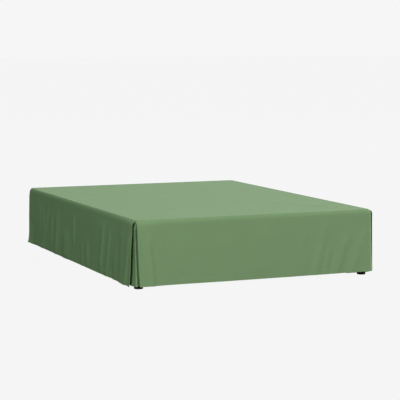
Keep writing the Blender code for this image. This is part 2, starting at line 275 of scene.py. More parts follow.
def new_group(name: str, values: dict[str, float], outputs: tuple[str, ...]) -> NodeTree:
    """Makes an empty shader node group that takes a place in metres and some values.

    Args:
        name: Its name.
        values: The defaults of its value inputs, by name.
        outputs: The names of its outputs, which are values.

    Returns:
        Its node tree.
    """
    tree = bpy.data.node_groups.new(name, "ShaderNodeTree")
    tree.interface.new_socket(name="Place", in_out="INPUT", socket_type="NodeSocketVector")
    for socket, default in values.items():
        made = tree.interface.new_socket(name=socket, in_out="INPUT", socket_type="NodeSocketFloat")
        made.default_value = default
    for socket in outputs:
        tree.interface.new_socket(name=socket, in_out="OUTPUT", socket_type="NodeSocketFloat")
    return NodeTree(tree)


YARN_ACROSS = 1100.0  # how often in a metre the yarn varies from thread to thread
YARN_ALONG = 16.0  # and along a thread
THREAD_ROUND = 0.6  # the power that makes the threads broad and the gaps between them narrow


def make_plain_weave() -> bpy.types.NodeTree:
    """Makes the group for the threads of a plain weave, over and under, with uneven yarn.

    Returns:
        The group. Thread is the distance between threads in metres and Slub is how uneven the yarn is.
        Height is 0 between the threads and 1 on them, and Yarn is around 1.
    """
    nodes = new_group("plain_weave", {"Thread": 0.0006, "Slub": 0.1}, ("Height", "Yarn"))
    given = nodes.add("NodeGroupInput").outputs
    along = nodes.add("ShaderNodeSeparateXYZ", {"Vector": given["Place"]}).outputs
    waves = []
    for axis in ("X", "Y"):
        turns = nodes.math("MULTIPLY", nodes.math("DIVIDE", along[axis], given["Thread"]), math.pi)
        waves.append(nodes.math("COSINE", turns))
    crossing = nodes.math("ABSOLUTE", nodes.math("MULTIPLY", *waves))
    yarns = []
    for stretch in ((YARN_ACROSS, YARN_ALONG, 1.0), (YARN_ALONG, YARN_ACROSS, 1.0)):
        yarns.append(nodes.noise(nodes.stretched(given["Place"], stretch), scale=1.0, detail=2.0))
    yarn = nodes.math("MULTIPLY_ADD", nodes.math("ADD", *yarns), given["Slub"], 1.0)
    nodes.add("NodeGroupOutput", {"Height": nodes.math("POWER", crossing, THREAD_ROUND), "Yarn": yarn})
    return nodes.tree


def make_unevenness() -> bpy.types.NodeTree:
    """Makes the group for soft variation over a surface, as of dye, fading or handling.

    Returns:
        The group. Scale is how often it varies in a metre and Amount is how much. Level is around 1.
    """
    nodes = new_group("unevenness", {"Scale": 4.0, "Amount": 0.05}, ("Level",))
    given = nodes.add("NodeGroupInput").outputs
    varied = nodes.noise(given["Place"], given["Scale"], detail=3.0)
    level = nodes.math("MULTIPLY_ADD", varied, nodes.math("MULTIPLY", given["Amount"], 2.0), 1.0)
    nodes.add("NodeGroupOutput", {"Level": level})
    return nodes.tree


@dataclass(frozen=True)
class Effects:
    """The node groups that the finishes share."""

    weave: bpy.types.NodeTree
    unevenness: bpy.types.NodeTree

    @classmethod
    def make(cls) -> Effects:
        """Makes the groups."""
        return cls(weave=make_plain_weave(), unevenness=make_unevenness())


@dataclass(frozen=True)
class Finish(ABC):
    """A finish, which makes one material."""

    name: str
    colour: Triple

    @abstractmethod
    def inputs(self, nodes: NodeTree, body: Socket, effects: Effects) -> Inputs:
        """Adds the finish's own nodes.

        Args:
            nodes: The material's tree.
            body: The places of the surface's points in the bed's frame.
            effects: The shared node groups.

        Returns:
            What the shader's inputs get.
        """

    def make(self, effects: Effects) -> bpy.types.Material:
        """Makes the material.

        Args:
            effects: The shared node groups.

        Returns:
            The material.
        """
        material = bpy.data.materials.new(self.name)
        material.use_nodes = True
        nodes = NodeTree(material.node_tree)
        body = nodes.add("ShaderNodeTexCoord").outputs["Object"]
        nodes.fill(material.node_tree.nodes["Principled BSDF"], self.inputs(nodes, body, effects))
        return material


class ThreadRun(Enum):
    """Where the threads of a woven finish run."""

    AS_CUT = "along the cloth, by its UV map named cut"
    ROUND_BOX = "level and upright on a box's sides, and askew on its top"


@dataclass(frozen=True)
class WovenFinish(Finish):
    """A plain-woven cotton, dyed in the piece, with shade painted between its threads."""

    thread: float  # the distance between threads, in metres
    slub: float  # how uneven the yarn is
    relief: float  # depth of the weave's bump, in metres
    dye: float  # how unevenly it is dyed
    roughness: float
    sheen: float
    run: ThreadRun = ThreadRun.AS_CUT
    dye_scale: float = 5.0  # how often in a metre the dye varies
    shaded_gap_level: float = 0.94  # painted shade: how light the cloth's colour is between its threads
    lit_thread_gain: float = 0.10  # painted light: how much lighter its colour is on them
    strength: float = 0.6  # of the weave's bump
    sheen_roughness: float = 0.6
    specular: float = 0.12

    def threads(self, nodes: NodeTree, body: Socket) -> Socket:
        """Adds the nodes that lay the threads.

        Args:
            nodes: The material's tree.
            body: The places of the surface's points in the bed's frame.

        Returns:
            Their places across and along the threads, in metres.
        """
        if self.run is ThreadRun.AS_CUT:
            return nodes.add("ShaderNodeUVMap", uv_map="cut").outputs["UV"]
        x, y, z = nodes.add("ShaderNodeSeparateXYZ", {"Vector": body}).outputs
        round_box = {"X": nodes.math("ADD", x, y), "Y": nodes.math("ADD", z, y)}
        return nodes.add("ShaderNodeCombineXYZ", round_box).outputs[0]

    def inputs(self, nodes: NodeTree, body: Socket, effects: Effects) -> Inputs:
        """Adds the nodes of the weave, of its painted shade between the threads, and of the dye.

        Args:
            nodes: The material's tree.
            body: The places of the surface's points in the bed's frame.
            effects: The shared node groups.

        Returns:
            What the shader's inputs get.
        """
        cut = self.threads(nodes, body)
        weave = nodes.group(effects.weave, {"Place": cut, "Thread": self.thread, "Slub": self.slub}).outputs
        dyed = {"Place": body, "Scale": self.dye_scale, "Amount": self.dye}
        dye = nodes.group(effects.unevenness, dyed).outputs["Level"]
        # Painted shade and light: the colour is darker in the gaps between threads and lighter on their tops.
        lit = nodes.math("MULTIPLY_ADD", weave["Height"], self.lit_thread_gain, self.shaded_gap_level)
        return {
            "Base Color": nodes.scaled(self.colour, weave["Yarn"], dye, lit),
            "Roughness": nodes.math("MULTIPLY", weave["Yarn"], self.roughness),
            "Normal": nodes.bump(weave["Height"], self.relief, self.strength),
            "Sheen Weight": self.sheen,
            "Sheen Roughness": self.sheen_roughness,
            "Specular IOR Level": self.specular,
        }


@dataclass(frozen=True)
class MouldedFinish(Finish):
    """A moulded plastic with a fine grain."""

    roughness: float
    handled: float = 0.25  # how uneven handling has left it
    handled_scale: float = 60.0  # how often in a metre that varies
    grain_scale: float = 1800.0  # how often in a metre its grain varies
    relief: float = 0.0001  # depth of the grain's bump, in metres
    strength: float = 0.5  # of that bump

    def inputs(self, nodes: NodeTree, body: Socket, effects: Effects) -> Inputs:
        """Adds the nodes of the grain and of handling.

        Args:
            nodes: The material's tree.
            body: The places of the surface's points in the bed's frame.
            effects: The shared node groups.

        Returns:
            What the shader's inputs get.
        """
        handled = {"Place": body, "Scale": self.handled_scale, "Amount": self.handled}
        level = nodes.group(effects.unevenness, handled).outputs["Level"]
        grain = nodes.noise(body, self.grain_scale, detail=2.0)
        return {
            "Base Color": nodes.scaled(self.colour, level),
            "Roughness": nodes.math("MULTIPLY", level, self.roughness),
            "Normal": nodes.bump(grain, self.relief, self.strength),
        }


GREEN_COTTON = WovenFinish(
    "green_cotton", (0.152, 0.256, 0.121),
    thread=0.00055, slub=0.16, relief=0.00012, dye=0.03, roughness=0.90, sheen=0.02,
)
GREEN_THREAD = WovenFinish(
    "green_thread", (0.150, 0.252, 0.118),
    thread=0.00030, slub=0.10, relief=0.00004, dye=0.02, roughness=0.70, sheen=0.20,
)
PALE_TICKING = WovenFinish(
    "pale_ticking", (0.560, 0.545, 0.510),
    thread=0.00070, slub=0.12, relief=0.00012, dye=0.06, roughness=0.92, sheen=0.05, run=ThreadRun.ROUND_BOX,
)
BLACK_PLASTIC = MouldedFinish("black_plastic", (0.010, 0.010, 0.011), roughness=0.42)


@dataclass(frozen=True)
class Finishes:
    """The materials, made once."""

    cotton: bpy.types.Material
    thread: bpy.types.Material
    ticking: bpy.types.Material
    plastic: bpy.types.Material

    @classmethod
    def make(cls) -> Finishes:
        """Makes the materials and the node groups that they share.

        Returns:
            The materials.
        """
        effects = Effects.make()
        return cls(
            cotton=GREEN_COTTON.make(effects),
            thread=GREEN_THREAD.make(effects),
            ticking=PALE_TICKING.make(effects),
            plastic=BLACK_PLASTIC.make(effects),
        )

# Meshes.


def normals_of(points: Array) -> Array:
    """The unit normals of a grid of points.

    Args:
        points: Rows by columns by three, rows running down and columns to the right, seen from outside.

    Returns:
        The outward normals, in the same shape.
    """
    across = np.gradient(points, axis=1)
    down = np.gradient(points, axis=0)
    normal = np.cross(down, across)
    return normal / np.maximum(np.linalg.norm(normal, axis=2, keepdims=True), TINY)


def add_object(name: str, data: bpy.types.ID) -> bpy.types.Object:
    """Adds an object to the scene.

    Args:
        name: Its name.
        data: Its mesh, light or camera.

    Returns:
        The object.
    """
    made = bpy.data.objects.new(name, data)
    bpy.context.scene.collection.objects.link(made)
    return made


def add_piece(
    mesh: bpy.types.Mesh, material: bpy.types.Material, slot: Slot, *replaced: str
) -> bpy.types.Object:
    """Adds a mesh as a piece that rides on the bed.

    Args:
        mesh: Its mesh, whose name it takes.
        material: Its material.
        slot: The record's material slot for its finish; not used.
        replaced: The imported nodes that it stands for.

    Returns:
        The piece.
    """
    mesh.materials.append(material)
    piece = add_object(mesh.name, mesh)
    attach(piece, BODY)
    if replaced:
        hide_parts(*replaced)
    LOG.info("%s: %d triangles", piece.name, sum(len(face.vertices) - 2 for face in mesh.polygons))
    return piece


def add_cloth(
    node: str, outer: Array, thick: Array, cut: Array, material: bpy.types.Material
) -> bpy.types.Object:
    """Adds a closed sheet of cloth between its outer face and an inner one.

    Args:
        node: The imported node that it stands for.
        outer: The outer face's points, rows by columns by three, as normals_of takes them.
        thick: The cloth's thickness at each point.
        cut: Each point's place on the flat cloth, rows by columns by two, for a UV map named cut.
        material: Its material.

    Returns:
        The piece.
    """
    rows, columns = outer.shape[:2]
    inner = outer - normals_of(outer) * thick[..., None]
    points = np.concatenate([outer.reshape(-1, 3), inner.reshape(-1, 3)])
    index = np.arange(rows * columns).reshape(rows, columns)
    quads = np.stack([index[:-1, :-1], index[1:, :-1], index[1:, 1:], index[:-1, 1:]], axis=-1).reshape(-1, 4)
    edge = np.concatenate([index[0, ::-1], index[1:, 0], index[-1, 1:], index[-2:0:-1, -1]])
    ahead = np.roll(edge, -1)
    layer = rows * columns
    rim = np.stack([edge, edge + layer, ahead + layer, ahead], axis=-1)
    faces = np.concatenate([quads, quads[:, ::-1] + layer, rim])
    mesh = bpy.data.meshes.new(f"{node}_cloth")
    mesh.from_pydata(points.tolist(), [], faces.tolist())
    mesh.shade_smooth()
    mesh.set_sharp_from_angle(angle=SHARP_CLOTH)
    places = np.concatenate([cut.reshape(-1, 2)] * 2)
    uv = mesh.uv_layers.new(name="cut")
    uv.data.foreach_set("uv", places[faces.ravel()].astype(np.float32).ravel())
    return add_piece(mesh, material, Slot.CLOTH, node)


@dataclass(frozen=True)
class Base:
    """The box that the cloth lies over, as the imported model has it."""

    half_x: float
    half_y: float
    top: float

    @classmethod
    def from_frame(cls) -> Base:
        """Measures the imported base."""
        low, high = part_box("base_box")
        return cls(half_x=(high.x - low.x) / 2, half_y=(high.y - low.y) / 2, top=high.z)

    @property
    def straight_from(self) -> float:
        """The height where the rounded top edge ends and the upright faces begin."""
        return self.top - EDGE_ROUND

    def fallen(self, height: Array) -> Array:
        """The share of the upright faces, down as far as the drops' hem, that is above a height."""
        return np.clip((self.straight_from - height) / (self.straight_from - HEM), 0.0, 1.0)

    def length(self, side: Side) -> float:
        """A side's length from face to face."""
        return 2 * (self.half_x if side.value[1][0] else self.half_y)

    def run(self, side: Side, corner: Array | float = CORNER_ROUND) -> Array | float:
        """A side's length from the middle of one corner to the middle of the next, round their radius."""
        return self.length(side) - (2 - math.pi / 2) * corner

    def plan(self, side: Side, along: Array, out: Array, corner: Array | float = CORNER_ROUND) -> Array:
        """Places points round the base, seen from above.

        Args:
            side: The side that along is measured on, from the middle of its first corner.
            along: How far along the base's own run each point is, below 0 on the side before.
            out: How far out from the base's upright faces it is.
            corner: The radius that cloth goes round the corners by, the base's own or a tighter one.

        Returns:
            The points' x and y, as the last axis.
        """
        if np.any(along < 0):
            before = self.plan(side.before, np.maximum(along + self.run(side.before), 0.0), out, corner)
            here = self.plan(side, np.maximum(along, 0.0), out, corner)
            return np.where((along < 0)[..., None], before, here)
        run = self.run(side, corner)
        along = along * run / self.run(side)
        half_arc = corner * math.pi / 4
        from_end = np.minimum(along, run - along)
        angle = np.clip((half_arc - from_end) / corner, 0.0, math.pi / 4)
        forward = corner - (corner + out) * np.sin(angle) + np.maximum(from_end - half_arc, 0.0)
        outward = (corner + out) * np.cos(angle) - corner
        forward = np.where(from_end < along, self.length(side) - forward, forward)
        (sign_x, sign_y), (ahead_x, ahead_y) = side.value
        x = sign_x * self.half_x + forward * ahead_x + outward * ahead_y
        y = sign_y * self.half_y + forward * ahead_y - outward * ahead_x
        return np.stack([x, y], axis=-1)

    def over_edge(self, angle: Array, clear: Array | float) -> tuple[Array, Array]:
        """Finds points that lie clear of the rounded top edge.

        Args:
            angle: How far round the edge they are from its top, in radians.
            clear: How far clear of it they are.

        Returns:
            How far out they are from the base's upright faces, and their heights.
        """
        reach = EDGE_ROUND + clear
        return reach * np.sin(angle) - EDGE_ROUND, self.straight_from + reach * np.cos(angle)


@dataclass(frozen=True)
class Section:
    """Hanging cloth from the seam down to its hem, by the distance down the cloth."""

    base: Base
    outer: float
    hem: float

    @property
    def bend(self) -> float:
        """The length of the part that bends over the base's rounded edge."""
        return (EDGE_ROUND + self.outer) * (math.pi / 2 - SEAM_ANGLE)

    @property
    def length(self) -> float:
        """The length from the seam to the hem."""
        return self.bend + self.base.straight_from - self.hem

    @property
    def cut_length(self) -> float:
        """The length that the cloth is cut to, with its hem and its seam allowance."""
        return self.length + HEM_DEEP + SEAM_ALLOWANCE

    def rows(self, pitch: float, *upper: tuple[float, float]) -> Array:
        """Divides the cloth into rows, which lie close at its hem's step.

        Args:
            pitch: The distance between most of the rows above the step.
            upper: The end and the pitch of each stretch above those.

        Returns:
            The rows' distances down the cloth.
        """
        step = self.length - HEM_DEEP
        lower = ((step - STEP_HALF, pitch), (step + STEP_HALF, STEP_PITCH), (self.length, HEM_PITCH))
        return divide(0.0, *upper, *lower)

    def turned(self, height: Array) -> Array:
        """How much of its hem's step the cloth has at a height, from 0 above to 1 below."""
        return smooth((HEM_DEEP - (height - self.hem)) / HEM_SOFT)

    def at(self, down: Array) -> tuple[Array, Array]:
        """Finds how far out and how high the cloth is.

        Args:
            down: The distance down the cloth from its seam.

        Returns:
            How far out its outer face is from the base's upright faces, and its height.
        """
        angle = SEAM_ANGLE + np.minimum(down, self.bend) / (EDGE_ROUND + self.outer)
        out, height = self.base.over_edge(angle, self.outer)
        return out, height - np.maximum(down - self.bend, 0.0)


FOLD_BEND = 1.15  # the power by which a slanting fold bends as it runs down
FOLD_FADE = 0.075  # the height over which a fold grows from nothing, and fades again below its stop
FOLD_PAST = 1.4  # how far down from its start it goes on slanting, in times the way to its stop


@dataclass(frozen=True)
class Fold:
    """A soft ridge in a drop, or a trough where proud is below 0.

    It begins at the height start, at the place upper, and runs down to the height stop, at the place
    lower. Places are measured along the drop from a corner. The ridge falls away over near on the side
    of that corner and over far on the other.
    """

    start: float
    upper: float
    stop: float
    lower: float
    near: float
    far: float
    proud: float

    def at(self, place: Array, height: Array) -> Array:
        """How far the fold stands out.

        Args:
            place: The distance along the drop.
            height: The height above the floor.

        Returns:
            The distance out, below 0 in a trough.
        """
        share = np.clip((self.start - height) / (self.start - self.stop), 0.0, FOLD_PAST)
        middle = self.upper + (self.lower - self.upper) * share**FOLD_BEND
        wide = np.where(place < middle, self.near, self.far)
        grown = smooth((self.start - height) / FOLD_FADE)
        if self.stop > HEM:
            grown = grown * smooth((height - self.stop) / FOLD_FADE + 1.0)
        return self.proud * grown * bell(place - middle, wide)


EASE_DRAW = 0.024  # how far down the cloth a drop takes to swell out
END_DRAW = 0.014  # how far down the cloth a free end takes to come most of the way out
CORNER_DRAW = 0.012  # how far down the cloth it mostly takes to come off the base's round corner
TO_CORNER = DROP_OUTER + (1 - math.pi / 4) * CORNER_ROUND  # from the middle of a corner back to its point
LEAN_POWER = 1.3  # the power by which a lean comes in towards the hem

# Measured from the corner at the left of the foot end.
FOOT_FOLDS = (
    Fold(0.330, 0.077, HEM, 0.105, 0.020, 0.012, 0.0060),
    Fold(0.300, 0.148, 0.100, 0.172, 0.018, 0.018, 0.0020),
    Fold(0.290, 0.250, 0.120, 0.255, 0.050, 0.050, 0.0012),
    Fold(0.290, 0.525, HEM, 0.530, 0.060, 0.045, 0.0020),
    Fold(0.330, 0.745, 0.100, 0.742, 0.060, 0.045, 0.0028),
    Fold(0.180, 0.905, HEM, 0.905, 0.040, 0.035, 0.0020),
    Fold(0.290, 0.980, 0.080, 0.990, 0.030, 0.026, 0.0024),
    Fold(0.330, 1.128, HEM, 1.064, 0.022, 0.024, 0.0038),
    Fold(0.205, 1.160, HEM, 1.122, 0.018, 0.013, 0.0024),
    Fold(0.260, 1.268, HEM, 1.186, 0.032, 0.026, 0.0040),
    Fold(0.280, 1.372, HEM, 1.290, 0.030, 0.026, 0.0038),
    Fold(0.240, 1.366, 0.090, 1.360, 0.016, 0.014, 0.0018),
)
# Measured from the corner at the left of the foot end, towards the head.
LEFT_FOLDS = (
    Fold(0.300, 0.022, HEM, 0.030, 0.014, 0.018, 0.0035),
    Fold(0.320, 0.046, HEM, 0.102, 0.016, 0.045, 0.0080),
    Fold(0.330, 0.172, HEM, 0.184, 0.060, 0.035, 0.0060),
    Fold(0.350, 0.520, HEM, 0.540, 0.200, 0.240, 0.0040),
    Fold(0.220, 0.285, HEM, 0.295, 0.050, 0.040, 0.0030),
    Fold(0.130, 0.342, HEM, 0.346, 0.018, 0.018, -0.0030),
    Fold(0.300, 0.377, 0.050, 0.424, 0.015, 0.022, 0.0058),
    Fold(0.330, 0.472, 0.090, 0.518, 0.015, 0.036, 0.0075),
    Fold(0.220, 0.715, 0.110, 0.715, 0.022, 0.014, -0.0020),
    Fold(0.205, 0.755, 0.085, 0.756, 0.011, 0.050, 0.0044),
    Fold(0.185, 0.857, 0.045, 0.857, 0.014, 0.020, 0.0042),
    Fold(0.325, 1.022, 0.165, 1.022, 0.020, 0.018, 0.0062),
    Fold(0.205, 1.160, 0.060, 1.168, 0.060, 0.055, 0.0100),
    Fold(0.300, 1.320, 0.060, 1.355, 0.026, 0.038, 0.0080),
    Fold(0.290, 1.434, 0.110, 1.455, 0.013, 0.024, 0.0048),
    Fold(0.310, 1.506, 0.045, 1.628, 0.016, 0.018, 0.0056),
    Fold(0.300, 1.618, 0.150, 1.618, 0.014, 0.040, 0.0034),
    Fold(0.310, 1.705, 0.150, 1.702, 0.035, 0.026, 0.0036),
    Fold(0.200, 1.860, HEM, 1.858, 0.070, 0.040, -0.0060),
)
# Not seen: measured from the corner at the right of the foot end, towards the head.
RIGHT_FOLDS = (
    Fold(0.270, 0.120, HEM, 0.150, 0.030, 0.026, 0.0036),
    Fold(0.290, 0.330, HEM, 0.392, 0.032, 0.040, 0.0048),
    Fold(0.220, 0.452, HEM, 0.486, 0.026, 0.024, -0.0028),
    Fold(0.250, 0.704, HEM, 0.716, 0.048, 0.040, 0.0042),
    Fold(0.200, 0.800, 0.060, 0.806, 0.024, 0.028, 0.0024),
    Fold(0.300, 0.958, HEM, 0.940, 0.026, 0.036, 0.0044),
    Fold(0.210, 1.140, HEM, 1.128, 0.028, 0.026, 0.0034),
    Fold(0.280, 1.394, HEM, 1.342, 0.034, 0.044, 0.0050),
    Fold(0.220, 1.462, HEM, 1.420, 0.026, 0.022, -0.0028),
    Fold(0.260, 1.560, 0.080, 1.540, 0.030, 0.030, 0.0026),
    Fold(0.290, 1.716, HEM, 1.668, 0.034, 0.032, 0.0042),
)
# Not seen: measured from the corner at the right of the head end.
HEAD_FOLDS = (
    Fold(0.270, 0.210, HEM, 0.252, 0.030, 0.040, 0.0038),
    Fold(0.220, 0.520, HEM, 0.534, 0.050, 0.044, 0.0028),
    Fold(0.240, 0.660, 0.080, 0.668, 0.026, 0.030, 0.0020),
    Fold(0.250, 0.838, HEM, 0.820, 0.036, 0.044, 0.0032),
    Fold(0.280, 1.150, HEM, 1.096, 0.030, 0.032, 0.0040),
)


@dataclass(frozen=True)
class Stitches:
    """A line of sewing in thread, as short raised stitches."""

    long: float = 0.0026
    wide: float = 0.0005
    high: float = 0.0003
    shoulder: float = 0.3  # how far each way from its middle it is thick, in its own lengths
    cut_step: tuple[float, float] = (0.0004, 0.0003)  # from each of its points to the next in the UV map

    def mesh(self, name: str, lines: list[tuple[Array, Array, Array]]) -> bpy.types.Mesh:
        """Makes one mesh of every stitch.

        Args:
            name: The mesh's name.
            lines: The middles, the headings and the outward normals of the stitches of each line.

        Returns:
            The mesh, with a UV map named cut.
        """
        middle, ahead, up = (np.concatenate([line[part] for line in lines]) for part in range(3))
        beside = np.cross(up, ahead)
        ring = ((0, 1), (1, 0), (0, -1), (-1, 0))
        points = [middle - ahead * self.long / 2, middle + ahead * self.long / 2]
        for end in (-self.shoulder, self.shoulder):
            for across, above in ring:
                offset = beside * across * self.wide / 2 + up * above * self.high
                points.append(middle + ahead * self.long * end + offset)
        block = np.stack(points, axis=1)
        count, each = block.shape[:2]
        faces = []
        for corner in range(len(ring)):
            beyond = (corner + 1) % len(ring)
            faces.append((0, 2 + corner, 2 + beyond))
            faces.append((1, 6 + beyond, 6 + corner))
            faces.append((2 + corner, 6 + corner, 6 + beyond, 2 + beyond))
        mesh = bpy.data.meshes.new(name)
        joined = [[corner + each * stitch for corner in face] for stitch in range(count) for face in faces]
        mesh.from_pydata(block.reshape(-1, 3).tolist(), [], joined)
        mesh.shade_smooth()
        uv = mesh.uv_layers.new(name="cut")
        flat = np.tile(np.outer(np.arange(each), self.cut_step), (count, 1))
        loops = np.zeros(len(mesh.loops), dtype=np.int32)
        mesh.loops.foreach_get("vertex_index", loops)
        uv.data.foreach_set("uv", flat[loops].astype(np.float32).ravel())
        return mesh


@dataclass(frozen=True)
class End:
    """How a drop hangs towards one of its ends, which a split leaves free."""

    flare: float = 0.006  # how far out it stands at the hem, beyond the middle of the drop
    standing: float = 0.35  # the share of that which it has just below the seam
    reach: float = 0.070  # how far in from its edge it mostly stands out
    kick: float = 2.5  # the power by which the rest comes in towards the hem
    low: float = 0.0  # how much lower than level its hem is
    corner: float = 0.020  # the radius that it goes round the corner by, once it hangs free
    draw: float = CORNER_DRAW  # how far down the cloth it takes to hang free there
    parted: float = 0.0010  # half the opening of the split at the seam
    opened: float = SPLIT_HEM  # and at the hem

    def opening(self, fallen: Array) -> Array:
        """Half the opening of the split beside it, by the share of the drop's height that is above."""
        return self.parted + (self.opened - self.parted) * fallen

    def at(self, from_edge: Array, down: Array, fallen: Array) -> Array:
        """How far the end stands out.

        Args:
            from_edge: The distance from the drop's edge.
            down: The distance down the cloth from the seam.
            fallen: The share of the drop's height that is above.

        Returns:
            The distance out.
        """
        share = self.standing * (1.0 - np.exp(-down / END_DRAW)) + (1.0 - self.standing) * fallen**self.kick
        return self.flare * share * bell(np.maximum(from_edge, 0.0), self.reach)

    def radius(self, down: Array) -> Array:
        """The radius that the cloth goes round the corner by, from the base's own at the seam."""
        return CORNER_ROUND + (self.corner - CORNER_ROUND) * smooth(down / self.draw)


# How the drops hang towards the corners that show: each end is named by its drop, then by its corner's
# other side.
FOOT_LEFT_END = End(
    flare=0.0175, standing=0.78, reach=0.120, kick=5.5, low=0.0010, corner=0.001, opened=0.0150
)
FOOT_RIGHT_END = End(  # wraps round the corner and nearly closes its split
    flare=0.0075, standing=0.0, kick=2.0, low=-0.0042, corner=0.016, parted=0.0032, opened=0.0026
)
RIGHT_FOOT_END = End(flare=0.0080, standing=0.45, reach=0.050, kick=1.2, corner=0.006, parted=0.0035)
LEFT_HEAD_END = End(flare=0.0085, standing=0.0, reach=0.060, kick=14.0, low=-0.0055, corner=0.012, draw=0.060)
LEFT_FOOT_END = End(flare=0.0140, standing=0.75, reach=0.220, kick=5.5, low=0.0025, corner=0.001)


@dataclass(frozen=True)
class Drop:
    """A panel that hangs along one side of the base, from the middle of one split to the next."""

    base: Base
    side: Side
    node: str
    folds: tuple[Fold, ...]
    start: End = End()
    finish: End = End()
    from_end: bool = False  # whether its folds are measured from its far end
    ease: float = 0.003  # how far it swells out just below the seam
    lean: float = 0.0045  # how much further out still it is at its hem
    sag: float = 0.0  # how much lower its hem is in its middle
    most_inward: float = 0.85  # a trough goes in by at most this share of the ease and the lean
    column: float = 0.0052  # how wide most of its mesh's columns are
    row: float = 0.0058  # and how high most of its rows are

    @property
    def section(self) -> Section:
        """Its section from the seam down to the hem."""
        return Section(self.base, DROP_OUTER, HEM)

    @property
    def run(self) -> float:
        """The length of its side, from the middle of one corner to the middle of the next."""
        return self.base.run(self.side)

    def openings(self, height: Array) -> tuple[Array, Array]:
        """Half the openings of the splits at its two ends, at a height."""
        fallen = np.clip((self.base.top - height) / (self.base.top - HEM), 0.0, 1.0)
        return self.start.opening(fallen), self.finish.opening(fallen)

    def from_edge(self, along: Array, height: Array) -> Array:
        """The distance in from the nearer of its two free edges."""
        first, last = self.openings(height)
        return np.minimum(along - first, self.run - last - along)

    def side_turned(self, along: Array, height: Array) -> Array:
        """How much of a side hem's step the cloth has, from 0 to 1 out towards its edge."""
        return smooth((SIDE_HEM_WIDE - self.from_edge(along, height)) / HEM_SOFT)

    def hang(self, along: Array, down: Array, height: Array) -> Array:
        """How far it stands out beyond its place at the top.

        Args:
            along: The distance along the side from the middle of its first corner.
            down: The distance down the cloth from the seam.
            height: The height above the floor.

        Returns:
            The distance, from its ease, its lean, its free ends and its folds.
        """
        fallen = self.base.fallen(height)
        own = self.ease * smooth(down / EASE_DRAW) + self.lean * fallen**LEAN_POWER
        first, last = self.openings(height)
        ends = self.start.at(along - first, down, fallen)
        ends = ends + self.finish.at(self.run - last - along, down, fallen)
        place = (self.run - along if self.from_end else along) + TO_CORNER
        folds = sum(fold.at(place, height) for fold in self.folds)
        return own + ends + np.maximum(folds, -self.most_inward * own)

    def seam_pucker(self, along: Array, down: Array) -> Array:
        """The roll into the seam, and the small waves that the sewing draws up below it.

        Args:
            along: The distance along the side.
            down: The distance down the cloth from the seam.

        Returns:
            How far out the cloth stands.
        """
        waves = sum(strong * np.sin(along / long + phase) for strong, long, phase in PUCKER_WAVES)
        return PUCKER * waves * bell(down - PUCKER_DOWN, PUCKER_WIDE) - SEAM_ROLL * bell(down, SEAM_ROLL_WIDE)

    def outer(self, along: Array, down: Array) -> Array:
        """Places points of its outer face.

        Args:
            along: The distance along the side from the middle of its first corner.
            down: The distance down the cloth from the seam.

        Returns:
            The points, with x, y and z as the last axis.
        """
        out, height = self.section.at(down)
        out = out + self.hang(along, down, height) + self.seam_pucker(along, down)
        out = out + HEM_STEP * self.section.turned(height)
        out = out + HEM_STEP * self.side_turned(along, height) * smooth(down / SIDE_HEM_DRAW)
        for inward, wide in ((height - HEM, HEM_DEEP), (self.from_edge(along, height), SIDE_HEM_WIDE)):
            out = out - STITCH_SINK * bell(inward - (wide - STITCH_IN), STITCH_SINK_WIDE)
        corner = np.where(along < self.run / 2, self.start.radius(down), self.finish.radius(down))
        plan = self.base.plan(self.side, along, out, corner)
        low = self.start.low + (self.finish.low - self.start.low) * along / self.run
        low = low + self.sag * np.sin(np.clip(along / self.run, 0.0, 1.0) * math.pi)
        return np.concatenate([plan, (height - low * down / self.section.length)[..., None]], axis=-1)

    def grid(self) -> tuple[Array, Array]:
        """Divides it into rows and columns, which lie close at its seam and at the steps of its hems.

        Returns:
            The points' places along the side and down the cloth, both rows by columns.
        """
        edge = divide(0.0, *SIDE_HEM_COLUMNS)
        wide = self.run / 2 - SPLIT_HEM / 2
        half = np.concatenate([edge, divide(edge[-1], (float(wide), self.column))[1:]])
        columns = np.concatenate([half, 2 * wide - half[-2::-1]]) / (2 * wide)
        down, share = np.meshgrid(self.section.rows(self.row, SEAM_ROWS), columns, indexing="ij")
        first, last = self.openings(self.section.at(down)[1])
        return first + (self.run - first - last) * share, down

    def stitch_line(self, along: Array, down: Array) -> tuple[Array, Array, Array]:
        """The middles, headings and normals of stitches at points that follow each other on the cloth.

        Args:
            along: The points' distances along the side.
            down: Their distances down the cloth.

        Returns:
            The three sets of vectors.
        """
        middle = self.outer(along, down)
        step = 0.0005
        across = self.outer(along + step, down) - self.outer(along - step, down)
        below = self.outer(along, down + step) - self.outer(along, down - step)
        up = np.cross(below, across)
        up /= np.linalg.norm(up, axis=-1, keepdims=True)
        ahead = np.gradient(middle, axis=0)
        ahead /= np.linalg.norm(ahead, axis=-1, keepdims=True)
        return middle + up * STITCH_LIFT, ahead, up

    def sew(self) -> bpy.types.Mesh:
        """Makes the stitches of its hem and of its two side hems.

        Returns:
            Their mesh.
        """
        hem_line = self.section.length - HEM_DEEP + STITCH_IN
        inset = SIDE_HEM_WIDE - STITCH_IN
        edge = SPLIT_HEM + inset
        along = np.arange(edge, self.run - edge, STITCH_PITCH)
        lines = [self.stitch_line(along, np.full_like(along, hem_line))]
        down = np.arange(STITCH_FIRST, hem_line - STITCH_PITCH, STITCH_PITCH)
        first, last = self.openings(self.section.at(down)[1])
        for place in (first + inset, self.run - last - inset):
            lines.append(self.stitch_line(place, down))
        return Stitches().mesh(f"{self.node}_stitches", lines)

    def build(self, finishes: Finishes) -> None:
        """Args:
            finishes: The materials.
        """
        along, down = self.grid()
        _, height = self.section.at(down)
        side = self.side_turned(along, height) * smooth((down - SIDE_HEM_DRAW) / SIDE_HEM_DRAW)
        thick = CLOTH + HEM_EXTRA * np.maximum(self.section.turned(height), side)
        cut = np.stack([along, down], axis=-1)
        panel = add_cloth(self.node, self.outer(along, down), thick, cut, finishes.cotton)
        stitches = add_piece(self.sew(), finishes.thread, Slot.CLOTH)
        flat = (self.run + 2 * SIDE_HEM_WIDE, self.section.cut_length)


